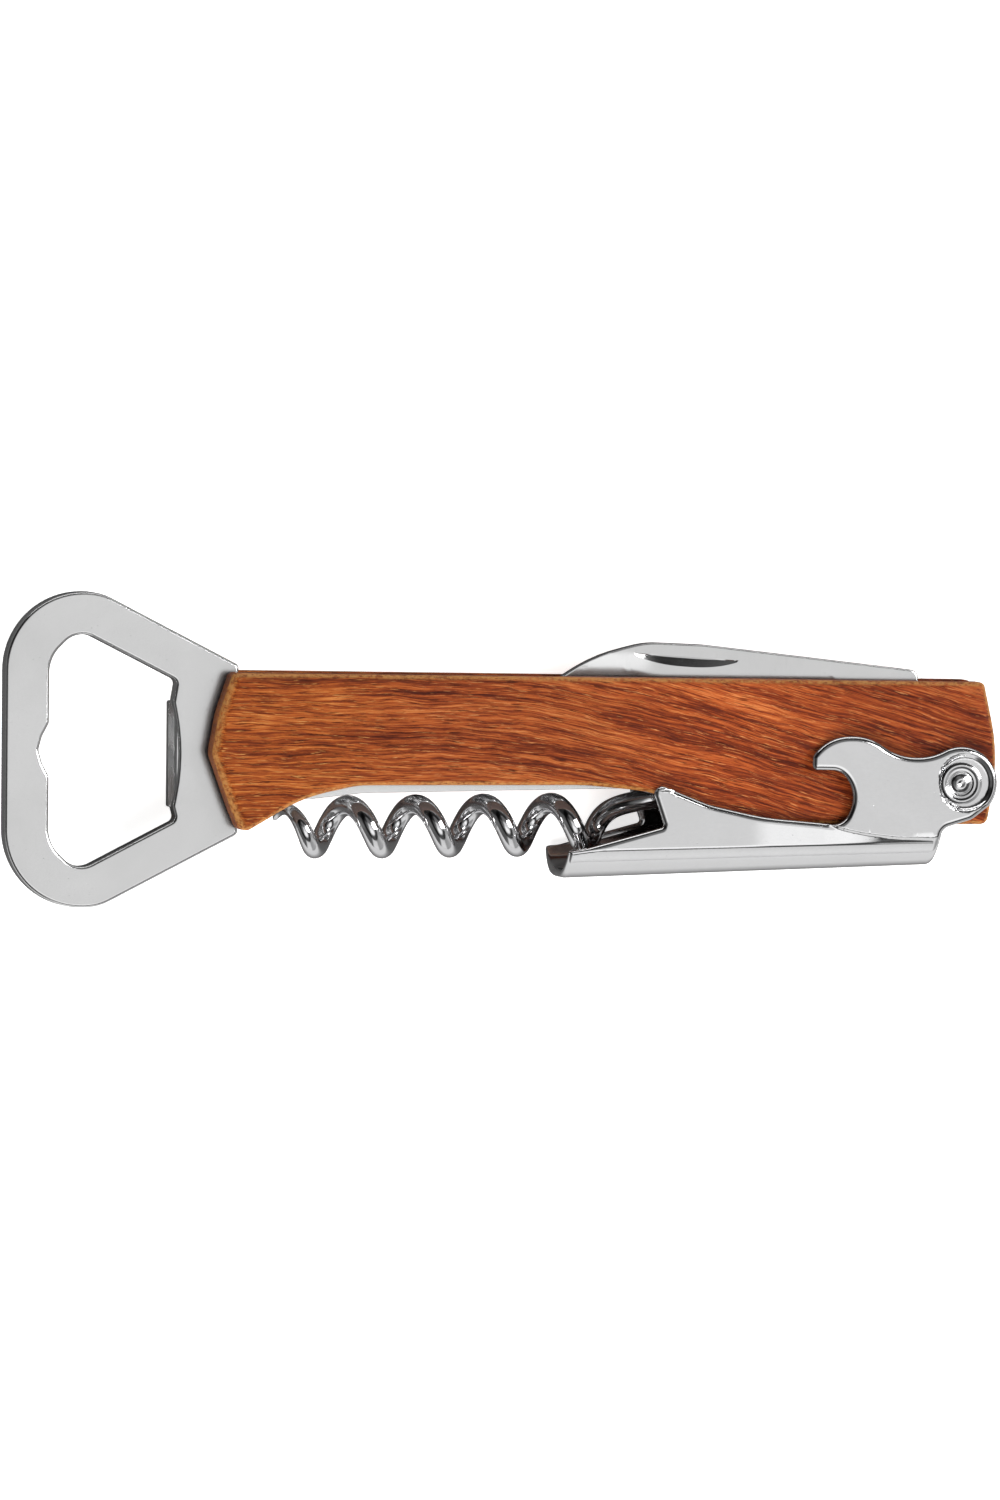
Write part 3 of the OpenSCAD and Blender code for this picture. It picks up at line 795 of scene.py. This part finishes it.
STEP_X = [41, 45.2, 45.9, 48.4, 51.1, 55.6, 61.0, 64]                    # the step below the ears
STEP_Y = [-5.6, -9.9, -10.45, -11.15, -11.7, -12.2, -12.4, -12.4]
FLARE = 0.24                            # how far the fins lean out on the way to the step

LAST_TURN = math.radians(32)            # of each bend, at the fin, which is tighter
FIRST_TURN = math.pi / 2 - LAST_TURN
TIGHT_R = 1.15


def bend_height(u):
    """Height of the bends over the spine's underside, which falls towards the ears."""
    return 4.22 - 0.0125 * u


def wide_r(u):
    """Outer radius of the wide part of the bends, beside the spine."""
    return (bend_height(u) - TIGHT_R * math.cos(FIRST_TURN)) / (1 - math.cos(FIRST_TURN))


def bend_span(u):
    """Where the bend starts on the blank, out from its middle, and where it ends."""
    r = wide_r(u)
    start = FIN_OUT - r * math.sin(FIRST_TURN) - TIGHT_R * (1 - math.sin(FIRST_TURN))
    return start, start + r * FIRST_TURN + TIGHT_R * LAST_TURN


def bend_profile(u, arc):
    """At a length round the bend: the turn, how far out from its start, and how far up."""
    r = wide_r(u)
    turn = np.where(arc < r * FIRST_TURN, arc / r, FIRST_TURN + (arc - r * FIRST_TURN) / TIGHT_R)
    turn = np.clip(turn, 0, math.pi / 2)
    first = np.minimum(turn, FIRST_TURN)
    out = r * np.sin(first) + TIGHT_R * (np.sin(turn) - np.sin(first))
    up = r * (1 - np.cos(first)) + TIGHT_R * (np.cos(first) - np.cos(turn))
    return turn, out, up


def to_spine(x, y):
    """Along the spine, and up from its underside."""
    dx, dy = x - SPINE[0], y - SPINE[1]
    return dx * math.cos(RISE) + dy * math.sin(RISE), dy * math.cos(RISE) - dx * math.sin(RISE)


def from_spine(u, h):
    """The reverse of to_spine."""
    return (SPINE[0] + u * math.cos(RISE) - h * math.sin(RISE),
            SPINE[1] + u * math.sin(RISE) + h * math.cos(RISE))


def to_blank(x, y):
    """A point of the side view on the blank."""
    u, h = to_spine(x, y)
    start, end = bend_span(u)
    arc = np.linspace(0, end - start, 200)
    up = bend_profile(u, arc)[2]
    if h >= up[-1]:
        return u, end + h - up[-1]
    return u, start + float(np.interp(h, up, arc))


def lever_blank():
    """The blank's outline."""
    around = [math.radians(a) for a in np.arange(115, -38, -4)]
    ear = [(LEVER_AT[0] + EAR_R * math.cos(a), LEVER_AT[1] + EAR_R * math.sin(a), 0) for a in around]
    side = dense(rounded(WALL + ear + WALL_END), 0.3)
    wall = [to_blank(x, y) for x, y in side if to_spine(x, y)[1] > 0.4]
    left, right = to_spine(*SPINE_LEFT)[0], to_spine(*SPINE_RIGHT)[0]
    half = [(left, bend_span(left)[0])] + wall + [(right, bend_span(right)[0])]
    return dense(half + [(u, -s) for u, s in reversed(half)], 0.35)


def step_line(x):
    """Height of the step where the ears leave the fins."""
    return np.interp(x, STEP_X, STEP_Y)


def lever_offset(x, y, h, bend_top):
    """How far the wall stands out: its slight flare and the ears' step, less the dish round the rivet,
    which is wider towards the lever's end."""
    line = step_line(x)
    above = h - bend_top + 0.3
    rise = np.clip(above / np.maximum(np.minimum(line, -9.7) - y + above, 0.9), 0, 1)
    out = FLARE * rise * smooth((x - 33) / 5) + (EAR_STEP - FLARE) * smooth((y - line) / 0.4)
    dx, dy = x - LEVER_AT[0], y - LEVER_AT[1]
    brim = 4.05 + 0.75 * np.cos(np.arctan2(dy, dx) - 0.2)
    return out - 0.55 * smooth((brim - np.hypot(dx, dy)) / (0.28 + 0.45 * (brim - 3.3)))


def bent(verts):
    """The blank's points folded round the spine."""
    u, s, w = verts[:, 0], np.abs(verts[:, 1]), verts[:, 2]
    side = np.sign(verts[:, 1])
    start, end = bend_span(u)
    turn, out, up = bend_profile(u, np.clip(s - start, 0, end - start))
    z = np.minimum(s, start) + out
    h = up + np.maximum(s - end, 0)
    x, y = from_spine(u, h)
    on_wall = turn > 1.2
    w = w + lever_offset(x, y, h, bend_height(u)) * on_wall
    z = (z + w * np.sin(turn)) * np.where(side == 0, 1, side)
    x, y = from_spine(u, h - w * np.cos(turn))
    return np.stack([x, y, z], 1)


def lever():
    pivot = to_blank(*LEVER_AT)
    along = np.arange(0.6, 52.3, 0.8)
    spots = [grid((0, -36), (62, 36), 0.75)]
    holes, creases, bend_ends = [], [], []
    for s in (-1, 1):
        at = (pivot[0], s * pivot[1])
        holes.append(circle(at, RIVET_R + RUN_GAP, 0.2))
        # Finer points on the dish, the step and the bend.
        for r in np.arange(1.9, 5.2, 0.13):
            spots.append(np.array(circle(at, r, 0.45)))
        step = [to_blank(x, step_line(x) + d) for x in np.arange(45.0, 62, 0.45)
                for d in np.arange(-0.12, 0.6, 0.09)]
        spots.append(np.array([(u, s * v) for u, v in step]))
        bends = grid((0, 0), (53, 1), 0.8, 1 / 16)
        start, end = bend_span(bends[:, 0])
        spots.append(np.stack([bends[:, 0], s * (start + bends[:, 1] * (end - start))], 1))
        creases.append([(u, s * bend_span(u)[0]) for u in along])
        bend_ends += [[(u, s * (bend_span(u)[1] + d)) for u in along] for d in np.arange(-0.4, 0.41, 0.1)]
    verts, faces = sheet(lever_blank(), constant(0.0), constant(-SHEET), constant(0.8), holes,
                         np.concatenate(spots), creases + bend_ends, steps=6, flatten=0.55)
    return settle(make("lever_chromed", bent(verts), faces), LEVER_CHROME, "boot_lever",
                  ["lever"])


# ---------------------------------------------------------------- rivet

def lever_rivet():
    """The rivet, whose domed ends have a dimple in the middle."""
    rim = RIVET_Z - 0.45
    dimple = [(0.001, 0.13), (0.25, 0.12), (0.42, 0.05), (0.58, 0.02), (0.74, 0.03)]      # radius, depth
    half = [(r, RIVET_Z - depth) for r, depth in dimple]
    half += [(RIVET_R * math.sin(a), rim + 0.45 * math.cos(a)) for a in np.linspace(0.66, 1.57, 9)]
    verts, faces = lathe(half + [(r, -z) for r, z in reversed(half)], LEVER_AT)
    return settle(make("lever_rivet_polished", verts, faces), RIVET_CHROME, "handle",
                  ["lever_rivet"])


CUP_LOW, CUP_HIGH = 8.4, 8.8      # where the cups sit in the ears' dishes


def rivet_cup(name, side, node):
    """The flanged cup in the front ear's dish, or with side -1 in the back one's."""
    section = rounded([
        (1.5, CUP_LOW, 0), (2.9, CUP_LOW, 0.04), (2.95, CUP_HIGH - 0.17, 0.04),
        (2.58, CUP_HIGH - 0.02, 0.04), (2.38, CUP_HIGH - 0.02, 0.04), (2.08, CUP_HIGH - 0.15, 0.04),
        (1.8, CUP_HIGH - 0.16, 0.04), (1.6, CUP_HIGH - 0.26, 0.04), (1.56, CUP_HIGH - 0.34, 0.02),
        (1.5, CUP_HIGH - 0.34, 0)], 15)
    verts, faces = lathe(section, LEVER_AT, closed=True)
    verts = np.array(verts) * [1, 1, side]
    if side > 0:
        faces = [f[::-1] for f in faces]
    return settle(make(name, verts, faces), RIVET_CHROME, "handle", [node])


# ---------------------------------------------------------------- carried-over nodes

def dress(node, material):
    """A better finish on a CAD node that the handle hides, with its hard edges broken."""
    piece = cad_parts[node]
    piece.data.materials.clear()
    piece.data.materials.append(material)
    weld = piece.modifiers.new("weld", "WELD")
    weld.merge_threshold = 1e-6
    bevel = piece.modifiers.new("broken_edges", "BEVEL")
    bevel.width = 0.06 * MM
    bevel.segments = 2
    bevel.limit_method = "ANGLE"
    bevel.angle_limit = math.radians(50)


# ---------------------------------------------------------------- stage

TARGET = (0.73, -0.09, LIFT)      # what the camera looks at
TO_EYE = (-0.208, 0.04, 0.977)    # and from where: above, and a little from the opener's end
IN_VIEW = 0.2085                  # height of what it sees there, in metres


def camera():
    """A long lens, nearly straight above the tool."""
    back = Vector(TO_EYE).normalized()
    right = (Vector((1, 0, 0)) - back * back.x).normalized()
    up = back.cross(right)
    lens = bpy.data.cameras.new("camera")
    lens.lens = 600
    lens.sensor_width = 36
    lens.clip_end = 10
    eye = bpy.data.objects.new("camera", lens)
    spot = Vector(TARGET) * MM + back * IN_VIEW * lens.lens / lens.sensor_width
    eye.matrix_world = Matrix.Translation(spot) @ Matrix((right, up, back)).transposed().to_4x4()
    bpy.context.scene.collection.objects.link(eye)
    bpy.context.scene.camera = eye


def area_light(name, at, size, power, mirrored=True):
    """A rectangular light that faces the tool. The metal doesn't show one that isn't mirrored."""
    data = bpy.data.lights.new(name, "AREA")
    data.shape = "RECTANGLE"
    data.size, data.size_y = size
    data.energy = power
    light = bpy.data.objects.new(name, data)
    light.location = at
    light.visible_glossy = mirrored
    light.rotation_euler = (-Vector(at)).to_track_quat("-Z", "Y").to_euler()
    bpy.context.scene.collection.objects.link(light)


def surroundings():
    """A pale studio: brighter towards -Y, darker towards -X, and a dark band that outlines the chrome."""
    world = bpy.data.worlds.new("studio")
    bpy.context.scene.world = world
    world.use_nodes = True
    tree = world.node_tree
    background = tree.nodes["Background"]
    direction = tree.nodes.new("ShaderNodeTexCoord").outputs["Generated"]
    parts = tree.nodes.new("ShaderNodeSeparateXYZ")
    tree.links.new(direction, parts.inputs[0])

    def bands(axis, stops):
        """Brightness in bands along one axis, from (direction, brightness) pairs."""
        span = tree.nodes.new("ShaderNodeMapRange")
        span.inputs["From Min"].default_value = -1
        tree.links.new(parts.outputs[axis], span.inputs["Value"])
        ramp = tree.nodes.new("ShaderNodeValToRGB")
        tree.links.new(span.outputs["Result"], ramp.inputs[0])
        while len(ramp.color_ramp.elements) < len(stops):
            ramp.color_ramp.elements.new(0.5)
        for element, (at, value) in zip(ramp.color_ramp.elements, stops):
            element.position = (at + 1) / 2
            element.color = (value, value, value, 1)
        return ramp.outputs["Color"]

    upward = bands("Z", [(0.0, 0.60), (0.15, 0.70), (0.5, 0.62), (0.60, 0.60), (0.67, 0.06), (0.83, 0.06),
                         (0.88, 0.70), (1.0, 0.70)])
    across = bands("Y", [(-1.0, 1.10), (-0.5, 1.15), (-0.3, 1.5), (-0.18, 1.4), (-0.09, 1.0), (0.10, 0.92),
                         (0.20, 0.22), (0.42, 0.18), (0.60, 0.36), (1.0, 0.40)])
    along = bands("X", [(-1.0, 0.16), (-0.45, 0.13), (-0.25, 0.20), (-0.12, 1.0), (0.30, 1.0), (0.45, 0.45),
                        (1.0, 0.55)])

    def product(a, b):
        node = tree.nodes.new("ShaderNodeVectorMath")
        node.operation = "MULTIPLY"
        tree.links.new(a, node.inputs[0])
        tree.links.new(b, node.inputs[1])
        return node.outputs[0]

    tree.links.new(product(upward, product(across, along)), background.inputs["Color"])
    background.inputs["Strength"].default_value = 1.0
    bpy.context.scene.view_settings.view_transform = "Standard"


def floor():
    """A pale floor that glows a little, so that it looks nearly white. The metal mirrors it darker, and
    darkest from just in front of the tool on towards +Y."""
    half = 3
    mesh = bpy.data.meshes.new("floor")
    mesh.from_pydata([(-half, -half, 0), (half, -half, 0), (half, half, 0), (-half, half, 0)], [],
                     [(0, 1, 2, 3)])
    plane = bpy.data.objects.new("floor", mesh)
    bpy.context.scene.collection.objects.link(plane)
    s = Shader("pale_floor", Roughness=0.9)
    shade = s.noise(s.place, 0.01, 2.0)
    pale = s.ramp(shade, [(0.3, (0.90, 0.90, 0.895, 1)), (0.7, (0.93, 0.93, 0.925, 1))])
    mirrored = s.node("ShaderNodeLightPath").outputs["Is Glossy Ray"]
    card = s.span(s.y, -14.0, -40.0, 0.10, 0.50)
    s.put(s.surface.inputs["Base Color"], s.mix(mirrored, pale, s.vector(card, card, card)))
    s.put(s.surface.inputs["Emission Color"], s.mix(mirrored, pale, grey(0)))
    s.surface.inputs["Emission Strength"].default_value = 0.78
    s.surface.inputs["Specular IOR Level"].default_value = 0.1
    mesh.materials.append(s.material)


# ---------------------------------------------------------------- the scene

camera()
surroundings()
floor()
area_light("key", (-0.4, -0.85, 1.1), (1.2, 0.6), 22.0, mirrored=False)
area_light("fill", (0.95, 0.35, 1.0), (0.5, 1.0), 13.0)
area_light("strip", (0.0, 1.2, 0.4), (2.0, 0.22), 2.5)

opener_plate()
wood_scale("wood_scale_front_grained", 1, WOOD_FRONT, "wood_scale_front")
wood_scale("wood_scale_back_grained", -1, WOOD_BACK, "wood_scale_back")
liner("liner_front_steel", SLOT_Z, LINER_Z, "liner_front")
liner("liner_back_steel", -LINER_Z, -SLOT_Z, "liner_back")
knife_blade()
worm()
lever()
lever_rivet()
rivet_cup("rivet_cup_front_turned", 1, "rivet_cup_front")
rivet_cup("rivet_cup_back_turned", -1, "rivet_cup_back")
dress("back_spring", SPRING_STEEL)
dress("blade_washers", BRASS)
for node in ("spring_pins", "tang_rivets", "worm_pin", "blade_pin", "rivet_spacer"):
    dress(node, PIN_STEEL)

bpy.context.view_layer.update()
